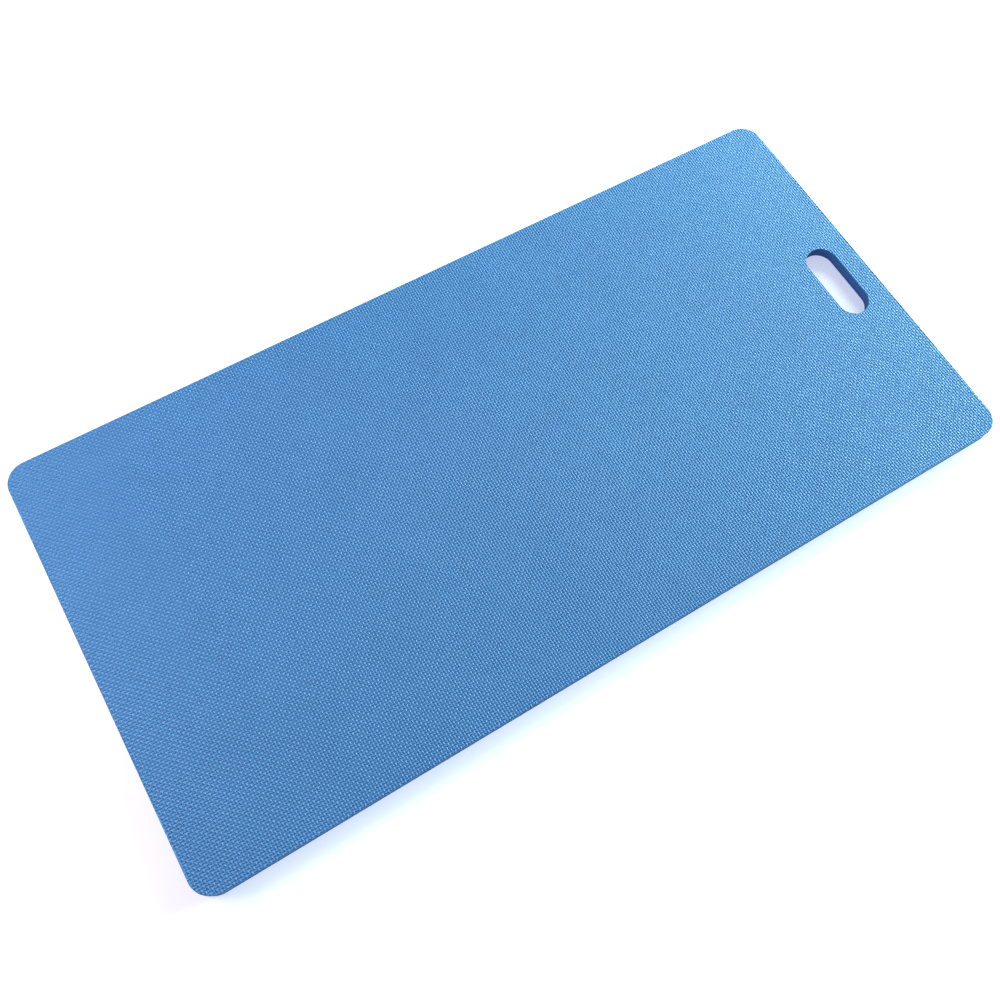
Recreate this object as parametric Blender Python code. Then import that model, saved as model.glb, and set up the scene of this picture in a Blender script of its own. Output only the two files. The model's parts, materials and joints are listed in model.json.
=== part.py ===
"""Exercise and balance mat of closed-cell foam, with a hand slot near one short end.

Units are metres and +Z is up. The origin is the middle of the underside, and +X points
to the end with the hand slot. The mat is a soft foam core with a denser embossed skin on
each face, and the slot is cut through all three layers.
"""

from math import cos, pi, sin

import bmesh
import bpy

# Driving dimensions
MAT_LENGTH = 1.000
MAT_WIDTH = 0.500
MAT_THICKNESS = 0.015
CORNER_RADIUS = 0.025
SLOT_LENGTH = 0.100  # across the mat, over the half-round ends
SLOT_WIDTH = 0.040  # along the mat
SLOT_RIM = 0.027  # foam left between the slot and the end of the mat
SKIN_THICKNESS = 0.0012
BOND_GAP = 0.0003  # between the core and each skin
ARC_STEPS = 12  # chords in each quarter circle

# Places that follow from them
CORE_THICKNESS = MAT_THICKNESS - 2 * (SKIN_THICKNESS + BOND_GAP)
CORE_BASE = SKIN_THICKNESS + BOND_GAP
TOP_SKIN_BASE = MAT_THICKNESS - SKIN_THICKNESS
SLOT_CENTRE_X = MAT_LENGTH / 2 - SLOT_RIM - SLOT_WIDTH / 2

# Surface colours, linear RGB
EMBOSSED_BLUE = (0.050, 0.200, 0.520, 1.0)
CUT_FOAM_BLUE = (0.035, 0.140, 0.400, 1.0)
SKIN_ROUGHNESS = 0.50
CUT_FOAM_ROUGHNESS = 0.80


def clear_scene():
    """Removes whatever objects the file opened with."""
    for old_object in list(bpy.data.objects):
        bpy.data.objects.remove(old_object, do_unlink=True)


def foam_material(name, colour, roughness):
    """A plain non-metallic foam surface."""
    material = bpy.data.materials.new(name)
    material.use_nodes = True
    shader = material.node_tree.nodes["Principled BSDF"]
    shader.inputs["Base Color"].default_value = colour
    shader.inputs["Roughness"].default_value = roughness
    shader.inputs["Metallic"].default_value = 0.0
    material.diffuse_color = colour
    return material


def rounded_rectangle(size_x, size_y, radius):
    """Points of a rectangle with round corners about the origin, anticlockwise from +X."""
    points = []
    corner_signs = ((1, 1), (-1, 1), (-1, -1), (1, -1))
    for quarter, (sign_x, sign_y) in enumerate(corner_signs):
        centre_x = sign_x * (size_x / 2 - radius)
        centre_y = sign_y * (size_y / 2 - radius)
        for step in range(ARC_STEPS + 1):
            angle = (quarter + step / ARC_STEPS) * pi / 2
            points.append((centre_x + radius * cos(angle), centre_y + radius * sin(angle)))
    return points


def sheet(name, outline, thickness):
    """A flat sheet of the outline's shape, standing on its own XY plane."""
    mesh = bpy.data.meshes.new(name)
    builder = bmesh.new()
    corners = [builder.verts.new((x, y, 0)) for x, y in outline]
    builder.faces.new(corners)
    bmesh.ops.remove_doubles(builder, verts=builder.verts, dist=1e-6)
    raised = bmesh.ops.extrude_face_region(builder, geom=builder.faces[:])
    raised_corners = [item for item in raised["geom"] if isinstance(item, bmesh.types.BMVert)]
    bmesh.ops.translate(builder, verts=raised_corners, vec=(0, 0, thickness))
    bmesh.ops.recalc_face_normals(builder, faces=builder.faces)
    builder.to_mesh(mesh)
    builder.free()
    new_object = bpy.data.objects.new(name, mesh)
    bpy.context.scene.collection.objects.link(new_object)
    return new_object


def slot_cutter():
    """The die that cuts the hand slot, longer than the mat is thick at both ends."""
    outline = rounded_rectangle(SLOT_WIDTH, SLOT_LENGTH, SLOT_WIDTH / 2)
    cutter = sheet("slot_cutter", outline, 3 * MAT_THICKNESS)
    cutter.location = (SLOT_CENTRE_X, 0, -MAT_THICKNESS)
    cutter.hide_render = True
    cutter.display_type = "WIRE"
    return cutter


def mat_layer(name, base_z, thickness, material, cutter):
    """One layer over the whole mat, with the hand slot cut through it."""
    outline = rounded_rectangle(MAT_LENGTH, MAT_WIDTH, CORNER_RADIUS)
    layer = sheet(name, outline, thickness)
    layer.location.z = base_z
    layer.data.materials.append(material)
    cut = layer.modifiers.new("hand_slot", "BOOLEAN")
    cut.operation = "DIFFERENCE"
    cut.solver = "EXACT"
    cut.object = cutter
    layer.data.shade_smooth()
    layer.data.set_sharp_from_angle(angle=pi / 6)
    return layer


def main():
    clear_scene()
    skin = foam_material("embossed_skin", EMBOSSED_BLUE, SKIN_ROUGHNESS)
    cut_foam = foam_material("cut_foam", CUT_FOAM_BLUE, CUT_FOAM_ROUGHNESS)
    cutter = slot_cutter()
    mat_layer("bottom_skin", 0, SKIN_THICKNESS, skin, cutter)
    mat_layer("foam_core", CORE_BASE, CORE_THICKNESS, cut_foam, cutter)
    mat_layer("top_skin", TOP_SKIN_BASE, SKIN_THICKNESS, skin, cutter)


main()
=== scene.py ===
"""Looks of the embossed foam exercise mat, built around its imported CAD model.

Units are metres and +Z is up. +X points to the end with the hand slot, and the mat lies on
the floor at z = 0. Each CAD layer is replaced by a finished mesh of the same size: two skins
with the pressed weave as real relief, and the cut foam between them.
"""

import json
from math import ceil, cos, hypot, pi, radians, sin

import bpy
import numpy as np
from mathutils import Matrix, Vector
from mathutils.geometry import delaunay_2d_cdt


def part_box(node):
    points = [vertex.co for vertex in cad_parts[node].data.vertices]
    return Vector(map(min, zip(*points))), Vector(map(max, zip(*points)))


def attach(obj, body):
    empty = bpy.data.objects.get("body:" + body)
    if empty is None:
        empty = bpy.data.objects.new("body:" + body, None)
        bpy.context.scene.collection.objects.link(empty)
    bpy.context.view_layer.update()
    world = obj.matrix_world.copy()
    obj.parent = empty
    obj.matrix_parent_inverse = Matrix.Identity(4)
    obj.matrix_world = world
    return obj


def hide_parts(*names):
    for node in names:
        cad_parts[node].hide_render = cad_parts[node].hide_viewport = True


# The mat's outline, as in the CAD model
CORNER_RADIUS = 0.025
SLOT_LENGTH = 0.100
SLOT_WIDTH = 0.040

# The pressed weave
WEAVE_PITCH = 0.003125  # from one strand to the next
WEAVE_DEPTH = 0.0009
GRAIN_REACH = 0.19  # how far a strand's end runs into the next cell, in pitches
CROSSING_HEIGHT = 0.22  # where one strand dives under the next, as a share of the depth
STRAND_ROUNDING = 8  # how fast a strand falls off from its middle line to its sides
WEAVE_BOW = 0.0025  # how far the embossing roller bowed the rows over the mat's width

# Cut rims and layers
RIM_RADIUS = 0.0006
RIM_STEPS = 4  # in the rim's quarter round
WALL_STEPS = 8  # down the core's cut wall
WEAVE_MARGIN = 0.0004  # from the rounded rim to the first whole facet of the weave
RING_STEP = 0.0020  # along the straight stretches of an outline
CORNER_STEPS = 24  # in each quarter circle of the mat's outline
SLOT_END_STEPS = 20  # in each quarter circle of the slot's outline
BOND_LINE = 0.00006  # between the layers
CUT_HOLLOW = 0.00025  # how far the die draws the foam in at mid thickness

# The texture map: the upper face fills its lower half, and the bond face its upper half
MAP_SPAN = 1.06  # metres of the mat across the map
UPPER_FACE_MIDDLE = (0.5, 0.25)
BOND_FACE_MIDDLE = (0.5, 0.75)

# Foam colours, linear RGB: each material varies from the first to the second
SKIN_BLUES = ((0.065, 0.212, 0.468), (0.071, 0.228, 0.494))
CUT_BLUES = ((0.011, 0.075, 0.225), (0.016, 0.098, 0.275))
NOISE_LOW, NOISE_HIGH = 0.3, 0.7  # between them lies nearly all of a noise texture

# Camera
CAMERA_PLACE = (-0.297, -0.350, 1.004)
CAMERA_AIM = (-0.0333, -0.0186, -0.061)
CAMERA_ROLL = radians(8.15)
CAMERA_LENS = 35.27

# Floor and light
FLOOR_REACH = 20
FLOOR_GAP = 0.0005
ROOM_COLOUR = (0.90, 0.95, 1.22)
LIGHT_AIM = (0.1, 0.0, 0.0)
FLOOR_COLOUR = (0.98, 0.90, 0.88)
FLOOR_PAINTED_GLOW = (0.42, 0.44, 0.54)  # painted light: the floor's own dim bluish glow round the mat, which lifts the shade there and tints it blue
PAINTED_GLOW_START = 0.75  # from the mat's middle, where the floor's painted glow starts to rise to white
PAINTED_GLOW_END = 1.9


# ---------------------------------------------------------------- outline of the mat

def read_layout(record):
    """Sizes of the mat and the slot's place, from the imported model."""
    low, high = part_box("top_skin")
    wall = next(m for m in record["mounts"] if m["name"] == "slot_bearing_wall")
    return {
        "half_length": (high.x - low.x) / 2,
        "half_width": (high.y - low.y) / 2,
        "slot_x": wall["pos_m"][0] - SLOT_WIDTH / 2,
        "slot_half_run": (SLOT_LENGTH - SLOT_WIDTH) / 2,
    }


def depth_inside(layout, x, y):
    """How far points lie inside the mat's material, measured flat; negative is outside it."""
    over_x = np.abs(x) - (layout["half_length"] - CORNER_RADIUS)
    over_y = np.abs(y) - (layout["half_width"] - CORNER_RADIUS)
    corner = np.hypot(np.maximum(over_x, 0), np.maximum(over_y, 0))
    outside = corner + np.minimum(np.maximum(over_x, over_y), 0) - CORNER_RADIUS
    along = np.clip(y, -layout["slot_half_run"], layout["slot_half_run"])
    from_slot = np.hypot(x - layout["slot_x"], y - along) - SLOT_WIDTH / 2
    return np.minimum(-outside, from_slot)


def rounded_ring(half_x, half_y, radius, steps_x, steps_y, steps_arc):
    """Points and outward directions round a rectangle with round corners, anticlockwise."""
    points, normals = [], []
    flat_x, flat_y = half_x - radius, half_y - radius
    corner_signs = ((1, 1), (-1, 1), (-1, -1), (1, -1))
    for quarter, (sign_x, sign_y) in enumerate(corner_signs):
        middle = Vector((sign_x * flat_x, sign_y * flat_y))
        for step in range(steps_arc):
            angle = (quarter + step / steps_arc) * pi / 2
            normal = Vector((cos(angle), sin(angle)))
            points.append(middle + radius * normal)
            normals.append(normal)
        end_angle = (quarter + 1) * pi / 2
        normal = Vector((round(cos(end_angle)), round(sin(end_angle))))
        along = Vector((-normal.y, normal.x))
        length, steps = (2 * flat_x, steps_x) if quarter % 2 == 0 else (2 * flat_y, steps_y)
        for step in range(steps):
            points.append(middle + radius * normal + along * (length * step / steps))
            normals.append(normal)
    return np.array(points), np.array(normals)


def outline_rings(layout):
    """The mat's outer edge and the slot's edge: points, and directions out of the material.

    Both run with the material on their left.
    """
    flat_x = 2 * (layout["half_length"] - CORNER_RADIUS)
    flat_y = 2 * (layout["half_width"] - CORNER_RADIUS)
    outer = rounded_ring(
        layout["half_length"], layout["half_width"], CORNER_RADIUS,
        round(flat_x / RING_STEP), round(flat_y / RING_STEP), CORNER_STEPS,
    )
    points, normals = rounded_ring(
        SLOT_WIDTH / 2, SLOT_LENGTH / 2, SLOT_WIDTH / 2,
        0, round(2 * layout["slot_half_run"] / RING_STEP), SLOT_END_STEPS,
    )
    slot = (points[::-1] + (layout["slot_x"], 0), -normals[::-1])
    return outer, slot


# ---------------------------------------------------------------- pressed weave

def weave_height(u, v):
    """Plain weave in pitches: 0 at the floor of a pit and 1 on the crown of a strand."""
    column, row = np.floor(u), np.floor(v)
    across_row, across_column = v - row - 0.5, u - column - 0.5
    row_sign = 1 - 2 * np.mod(row, 2)
    column_sign = 1 - 2 * np.mod(column, 2)
    warp = 0.5 + 0.5 * row_sign * np.sin(pi * u) - STRAND_ROUNDING * across_row ** 2
    weft = 0.5 - 0.5 * column_sign * np.sin(pi * v) - STRAND_ROUNDING * across_column ** 2
    return np.clip(np.maximum(warp, weft), 0, 1)


def weave_to_mat(layout, u, v):
    """Places on the mat, in metres, of points given in pitches from its middle."""
    y = v * WEAVE_PITCH
    bow = WEAVE_BOW * (1 - (y / layout["half_width"]) ** 2)
    return u * WEAVE_PITCH - bow, y


def mat_to_weave(layout, x, y):
    """The reverse of weave_to_mat."""
    bow = WEAVE_BOW * (1 - (y / layout["half_width"]) ** 2)
    return (x + bow) / WEAVE_PITCH, y / WEAVE_PITCH


def weave_lattice(layout):
    """Vertices and faces of the woven relief over a rectangle a little larger than the mat.

    Each cell has its crown, its four corners and a point on each side. A side's point is
    pushed from the strand that dives there towards the one that crosses it, so that every
    strand shows as a long grain.
    """
    columns = 2 * ceil(layout["half_length"] / WEAVE_PITCH + 1)
    rows = 2 * ceil(layout["half_width"] / WEAVE_PITCH + 1)
    i, j = np.meshgrid(np.arange(2 * columns + 1), np.arange(2 * rows + 1), indexing="ij")
    u = i / 2 - columns / 2
    v = j / 2 - rows / 2
    height = np.zeros(u.shape)
    height[1::2, 1::2] = 1
    warp_over = 1 - 2 * ((i // 2 + j // 2) % 2)
    upright = (i % 2 == 0) & (j % 2 == 1)
    level = (i % 2 == 1) & (j % 2 == 0)
    u = u - GRAIN_REACH * np.where(upright, warp_over, 0)
    v = v + GRAIN_REACH * np.where(level, warp_over, 0)
    height[upright | level] = CROSSING_HEIGHT
    x, y = weave_to_mat(layout, u, v)
    number = np.arange(u.size).reshape(u.shape)
    faces = np.stack(
        [number[:-1, :-1], number[1:, :-1], number[1:, 1:], number[:-1, 1:]], axis=-1
    ).reshape(-1, 4)
    crown_first = np.argmax((i % 2 + j % 2).ravel()[faces], axis=1)
    turn = (crown_first[:, None] + np.arange(4)) % 4
    return x.ravel(), y.ravel(), height.ravel(), np.take_along_axis(faces, turn, axis=1)


def open_edges(faces):
    """The edges that only one of these faces has, as pairs of vertex numbers."""
    edges = np.concatenate([faces[:, [k, (k + 1) % 4]] for k in range(4)])
    ordered = np.sort(edges, axis=1)
    _, index, count = np.unique(ordered, axis=0, return_inverse=True, return_counts=True)
    return edges[count[index.ravel()] == 1]


# ---------------------------------------------------------------- closed layers

def skin_profile(thickness):
    """A skin's cut rim, from its upper face down: inset, depth and share of the relief."""
    turns = [step / RIM_STEPS * pi / 2 for step in range(RIM_STEPS + 1)]
    rounded = [(1 - sin(turn), 1 - cos(turn)) for turn in turns]
    rim = [(RIM_RADIUS * inset, RIM_RADIUS * drop, 1 - drop) for inset, drop in rounded]
    return rim + [(0.0, thickness, 0.0)]


def core_profile(thickness):
    """The core's cut wall, which the die drew in a little at mid thickness."""
    shares = [step / WALL_STEPS for step in range(WALL_STEPS + 1)]
    return [(CUT_HOLLOW * sin(pi * share), thickness * share, 0.0) for share in shares]


def ring_edges(ring):
    """The edges round a closed ring of vertex numbers."""
    return list(zip(ring, ring[1:] + ring[:1]))


def triangles_beside(places, rim_edges, inner_edges):
    """Triangles of the region on the left of the rim edges, as far as the inner edges."""
    edges = rim_edges + inner_edges
    found = delaunay_2d_cdt([Vector(place) for place in places], edges, [], 0, 1e-7)
    source = [inputs[0] for inputs in found[3]]
    faces = [tuple(source[corner] for corner in face) for face in found[2]]
    face_beside = {edge: face for face in faces for edge in ring_edges(face)}
    walls = {frozenset(edge) for edge in edges}
    waiting = list(rim_edges)
    kept = {}
    while waiting:
        face = face_beside[waiting.pop()]
        if face not in kept:
            kept[face] = True
            waiting += [(b, a) for a, b in ring_edges(face) if frozenset((a, b)) not in walls]
    return list(kept)


class Layer:
    """Vertices and faces of a closed layer of the mat while it is being built."""

    def __init__(self, places, faces):
        self.places = places  # one row of x, y, z for each vertex
        self.spread = places[:, :2]  # where it lies once the rims are folded out flat
        self.faces = faces
        self.rims = []
        self.underside = []

    def add_ring(self, places, spread):
        """Adds vertices and returns their numbers."""
        first = len(self.places)
        self.places = np.concatenate([self.places, places])
        self.spread = np.concatenate([self.spread, spread])
        return list(range(first, len(self.places)))

    def add_rim(self, layout, points, normals, profile):
        """Adds a rim down this outline and returns its first and last ring."""
        rings, run, last = [], -profile[0][0], None
        for inset, depth, share in profile:
            flat = points - normals * inset
            relief = (weave_height(*mat_to_weave(layout, *flat.T)) - 1) * WEAVE_DEPTH * share
            if last:
                run += hypot(inset - last[0], depth - last[1])
            last = (inset, depth)
            places = np.column_stack([flat, relief - depth])
            rings.append(self.add_ring(places, points + normals * run))
        for upper, lower in zip(rings, rings[1:]):
            corners = [upper, lower, np.roll(lower, -1).tolist(), np.roll(upper, -1).tolist()]
            self.rims += [list(face) for face in zip(*corners)]
        return rings[0], rings[-1]

    def fill(self, rings, inner_edges=()):
        """Triangles between rings round the outlines, as far as the inner edges."""
        rim_edges = [edge for ring in rings for edge in ring_edges(ring)]
        used = sorted({corner for edge in [*rim_edges, *inner_edges] for corner in edge})
        local = {corner: place for place, corner in enumerate(used)}
        faces = triangles_beside(
            self.places[used, :2].tolist(),
            [(local[a], local[b]) for a, b in rim_edges],
            [(local[a], local[b]) for a, b in inner_edges],
        )
        return [[used[corner] for corner in face] for face in faces]

    def mesh(self, name):
        """The finished mesh, with a map for textures."""
        faces = self.faces + self.rims + self.underside
        made = bpy.data.meshes.new(name)
        made.from_pydata(self.places.tolist(), [], faces)
        smooth = np.zeros(len(faces), bool)
        smooth[len(self.faces):len(self.faces) + len(self.rims)] = True
        made.polygons.foreach_set("use_smooth", smooth)
        corners = np.empty(len(made.loops), np.int32)
        made.loops.foreach_get("vertex_index", corners)
        spots = self.spread[corners] / MAP_SPAN + UPPER_FACE_MIDDLE
        bond_start = len(corners) - sum(len(face) for face in self.underside)
        bond_places = self.places[corners[bond_start:], :2]
        spots[bond_start:] = bond_places / MAP_SPAN + BOND_FACE_MIDDLE
        made.uv_layers.new(name="OFBake").uv.foreach_set("vector", spots.ravel())
        return made


def layer_mesh(name, layout, profile, embossed):
    """A closed layer of the mat with its upper face at z = 0."""
    layer = Layer(np.empty((0, 3)), [])
    woven_edge = []
    if embossed:
        x, y, height, faces = weave_lattice(layout)
        inside = depth_inside(layout, x, y) > RIM_RADIUS + WEAVE_MARGIN
        faces = faces[inside[faces].all(axis=1)]
        used, index = np.unique(faces, return_inverse=True)
        faces = index.reshape(faces.shape)
        relief = (height[used] - 1) * WEAVE_DEPTH
        layer = Layer(np.column_stack([x[used], y[used], relief]), faces.tolist())
        woven_edge = open_edges(faces).tolist()
    rims = [layer.add_rim(layout, *outline, profile) for outline in outline_rings(layout)]
    layer.faces += layer.fill([upper for upper, lower in rims], woven_edge)
    layer.underside = [face[::-1] for face in layer.fill([lower for upper, lower in rims])]
    return layer.mesh(name)


def add_layer(name, mesh, top, upside_down=False):
    """Puts a layer in the scene with its upper face at this height, or its lower one."""
    if upside_down:
        mesh.transform(Matrix.Diagonal((1, 1, -1, 1)))
        mesh.flip_normals()
    mesh.transform(Matrix.Translation((0, 0, top)))
    layer = bpy.data.objects.new(name, mesh)
    bpy.context.scene.collection.objects.link(layer)
    return layer


# ---------------------------------------------------------------- materials

def new_material(name):
    """A material with nothing but its Principled shader."""
    material = bpy.data.materials.new(name)
    material.use_nodes = True
    return material


def foam_noise(material, scale, detail):
    """Noise laid through the mat itself, so that it stays with the piece."""
    nodes, links = material.node_tree.nodes, material.node_tree.links
    place = nodes.new("ShaderNodeTexCoord")
    noise = nodes.new("ShaderNodeTexNoise")
    noise.inputs["Scale"].default_value = scale
    noise.inputs["Detail"].default_value = detail
    links.new(place.outputs["Object"], noise.inputs["Vector"])
    return noise.outputs["Fac"]


def foam_cells(material, scale):
    """Hollow cells laid through the mat in the same way."""
    nodes, links = material.node_tree.nodes, material.node_tree.links
    place = nodes.new("ShaderNodeTexCoord")
    cells = nodes.new("ShaderNodeTexVoronoi")
    cells.inputs["Scale"].default_value = scale
    links.new(place.outputs["Object"], cells.inputs["Vector"])
    return cells.outputs["Distance"]


def vary_colour(material, factor, dark, light):
    """Gives the base colour a range, from dark to light as the noise rises."""
    nodes, links = material.node_tree.nodes, material.node_tree.links
    ramp = nodes.new("ShaderNodeValToRGB")
    ramp.color_ramp.elements[0].position = NOISE_LOW
    ramp.color_ramp.elements[0].color = (*dark, 1)
    ramp.color_ramp.elements[1].position = NOISE_HIGH
    ramp.color_ramp.elements[1].color = (*light, 1)
    links.new(factor, ramp.inputs["Fac"])
    links.new(ramp.outputs["Color"], nodes["Principled BSDF"].inputs["Base Color"])


def vary_roughness(material, factor, low, high):
    """Gives the roughness a range, from low to high as the noise rises."""
    nodes, links = material.node_tree.nodes, material.node_tree.links
    span = nodes.new("ShaderNodeMapRange")
    span.inputs["From Min"].default_value = NOISE_LOW
    span.inputs["From Max"].default_value = NOISE_HIGH
    span.inputs["To Min"].default_value = low
    span.inputs["To Max"].default_value = high
    links.new(factor, span.inputs["Value"])
    links.new(span.outputs["Result"], nodes["Principled BSDF"].inputs["Roughness"])


def add_bump(material, height, depth):
    """Gives the surface fine relief, this many metres deep."""
    nodes, links = material.node_tree.nodes, material.node_tree.links
    bump = nodes.new("ShaderNodeBump")
    bump.inputs["Distance"].default_value = depth
    links.new(height, bump.inputs["Height"])
    links.new(bump.outputs["Normal"], nodes["Principled BSDF"].inputs["Normal"])


def embossed_foam_material():
    """Satin skin of blue closed-cell foam, a little uneven in colour and in gloss."""
    material = new_material("embossed_foam")
    vary_colour(material, foam_noise(material, scale=14, detail=3), *SKIN_BLUES)
    vary_roughness(material, foam_noise(material, scale=60, detail=2), low=0.41, high=0.49)
    add_bump(material, foam_noise(material, scale=2500, detail=2), depth=0.00002)
    return material


def cut_foam_material():
    """Matt cut wall of the same foam, open to its small cells."""
    material = new_material("cut_foam")
    vary_colour(material, foam_noise(material, scale=180, detail=4), *CUT_BLUES)
    vary_roughness(material, foam_noise(material, scale=90, detail=2), low=0.7, high=0.82)
    add_bump(material, foam_cells(material, scale=1400), depth=0.00015)
    return material


def floor_material():
    """White studio paper with painted light: it glows faintly and bluish round the mat, which
    lifts and tints the shade there, and fully white away from it.
    """
    material = new_material("studio_floor")
    nodes, links = material.node_tree.nodes, material.node_tree.links
    shader = nodes["Principled BSDF"]
    place = nodes.new("ShaderNodeTexCoord")
    distance = nodes.new("ShaderNodeVectorMath")
    distance.operation = "LENGTH"
    away = nodes.new("ShaderNodeMapRange")
    away.interpolation_type = "SMOOTHSTEP"
    away.inputs["From Min"].default_value = PAINTED_GLOW_START
    away.inputs["From Max"].default_value = PAINTED_GLOW_END
    # Painted light: the floor's own glow, dim and bluish near the mat and white away from it
    painted_glow = nodes.new("ShaderNodeValToRGB")
    painted_glow.color_ramp.elements[0].color = (*FLOOR_PAINTED_GLOW, 1)
    painted_glow.color_ramp.elements[1].color = (1, 1, 1, 1)
    links.new(place.outputs["Object"], distance.inputs[0])
    links.new(distance.outputs["Value"], away.inputs["Value"])
    links.new(away.outputs["Result"], painted_glow.inputs["Fac"])
    links.new(painted_glow.outputs["Color"], shader.inputs["Emission Color"])
    shader.inputs["Emission Strength"].default_value = 1
    shader.inputs["Base Color"].default_value = (*FLOOR_COLOUR, 1)
    shader.inputs["Roughness"].default_value = 0.9
    return material


# ---------------------------------------------------------------- studio

def add_camera():
    """The camera, aimed down at the mat from its near left side."""
    camera = bpy.data.objects.new("camera", bpy.data.cameras.new("camera"))
    bpy.context.scene.collection.objects.link(camera)
    view = Vector(CAMERA_AIM) - Vector(CAMERA_PLACE)
    turn = view.to_track_quat("-Z", "Y").to_matrix() @ Matrix.Rotation(CAMERA_ROLL, 3, "Z")
    camera.matrix_world = Matrix.Translation(CAMERA_PLACE) @ turn.to_4x4()
    camera.data.lens = CAMERA_LENS
    camera.data.sensor_width = 36
    bpy.context.scene.camera = camera


def add_floor():
    """A wide flat floor, just clear of the mat's underside."""
    mesh = bpy.data.meshes.new("studio_floor")
    corner_signs = ((-1, -1), (1, -1), (1, 1), (-1, 1))
    corners = [(x * FLOOR_REACH, y * FLOOR_REACH, 0) for x, y in corner_signs]
    mesh.from_pydata(corners, [], [(0, 1, 2, 3)])
    mesh.materials.append(floor_material())
    floor = bpy.data.objects.new("studio_floor", mesh)
    floor.location.z = -FLOOR_GAP
    bpy.context.scene.collection.objects.link(floor)


def add_light(name, place, size, power, colour):
    """A soft rectangular light turned to the middle of the mat."""
    light = bpy.data.lights.new(name, "AREA")
    light.shape = "RECTANGLE"
    light.size, light.size_y = size
    light.energy = power
    light.color = colour
    lamp = bpy.data.objects.new(name, light)
    bpy.context.scene.collection.objects.link(lamp)
    lamp.location = place
    lamp.rotation_euler = (Vector(LIGHT_AIM) - Vector(place)).to_track_quat("-Z", "Y").to_euler()


def add_world(strength):
    """White where the camera looks past the floor, and a dimmer light all round."""
    world = bpy.data.worlds.new("studio")
    bpy.context.scene.world = world
    world.use_nodes = True
    nodes, links = world.node_tree.nodes, world.node_tree.links
    room = nodes["Background"]
    room.inputs["Color"].default_value = (*ROOM_COLOUR, 1)
    room.inputs["Strength"].default_value = strength
    backdrop = nodes.new("ShaderNodeBackground")
    backdrop.inputs["Color"].default_value = (1, 1, 1, 1)
    rays = nodes.new("ShaderNodeLightPath")
    mix = nodes.new("ShaderNodeMixShader")
    links.new(rays.outputs["Is Camera Ray"], mix.inputs["Fac"])
    links.new(room.outputs["Background"], mix.inputs[1])
    links.new(backdrop.outputs["Background"], mix.inputs[2])
    links.new(mix.outputs["Shader"], nodes["World Output"].inputs["Surface"])


# ---------------------------------------------------------------- assembly

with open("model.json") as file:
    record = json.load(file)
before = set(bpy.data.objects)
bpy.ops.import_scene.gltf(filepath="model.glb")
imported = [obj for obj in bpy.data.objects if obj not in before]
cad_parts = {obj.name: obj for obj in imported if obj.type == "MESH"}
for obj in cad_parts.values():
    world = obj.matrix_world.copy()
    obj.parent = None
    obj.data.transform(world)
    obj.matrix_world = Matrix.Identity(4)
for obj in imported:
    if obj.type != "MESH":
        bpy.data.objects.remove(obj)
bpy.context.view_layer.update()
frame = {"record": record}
layout = read_layout(frame["record"])

skin_foam = embossed_foam_material()
cut_foam = cut_foam_material()

# The finished layers share out the gaps between their CAD solids
skin_low, skin_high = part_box("top_skin")
core_low, core_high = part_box("foam_core")
mat_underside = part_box("bottom_skin")[0].z
share = (skin_low.z - core_high.z - BOND_LINE) / 2
skin_thickness = skin_high.z - skin_low.z + share
core_thickness = core_high.z - core_low.z + 2 * share

upper_mesh = layer_mesh("top_skin_embossed", layout, skin_profile(skin_thickness), embossed=True)
lower_mesh = upper_mesh.copy()
core_mesh = layer_mesh("foam_core_cut", layout, core_profile(core_thickness), embossed=False)
top = add_layer("top_skin_embossed", upper_mesh, skin_high.z)
bottom = add_layer("bottom_skin_embossed", lower_mesh, mat_underside, upside_down=True)
core = add_layer("foam_core_cut", core_mesh, core_high.z + share)
for piece, node, material, slot in (
    (top, "top_skin", skin_foam, "embossed_skin"),
    (core, "foam_core", cut_foam, "cut_foam"),
    (bottom, "bottom_skin", skin_foam, "embossed_skin"),
):
    piece.data.materials.append(material)
    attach(piece, "root")
    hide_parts(node)

add_camera()
add_floor()
add_world(strength=0.27)
add_light("window", (2.7, 0.0, 0.79), size=(2.3, 0.36), power=168, colour=(0.57, 1.0, 0.97))
add_light("far_panel", (1.3, 1.1, 0.7), size=(0.85, 0.5), power=25, colour=(0.72, 1.0, 0.92))
add_light("low_fill", (-1.15, 0.5, 0.45), size=(0.8, 0.3), power=9, colour=(1.1, 1.0, 1.05))
bpy.context.scene.view_settings.view_transform = "Standard"
bpy.context.scene.cycles.denoising_prefilter = "NONE"  # keeps the fine weave
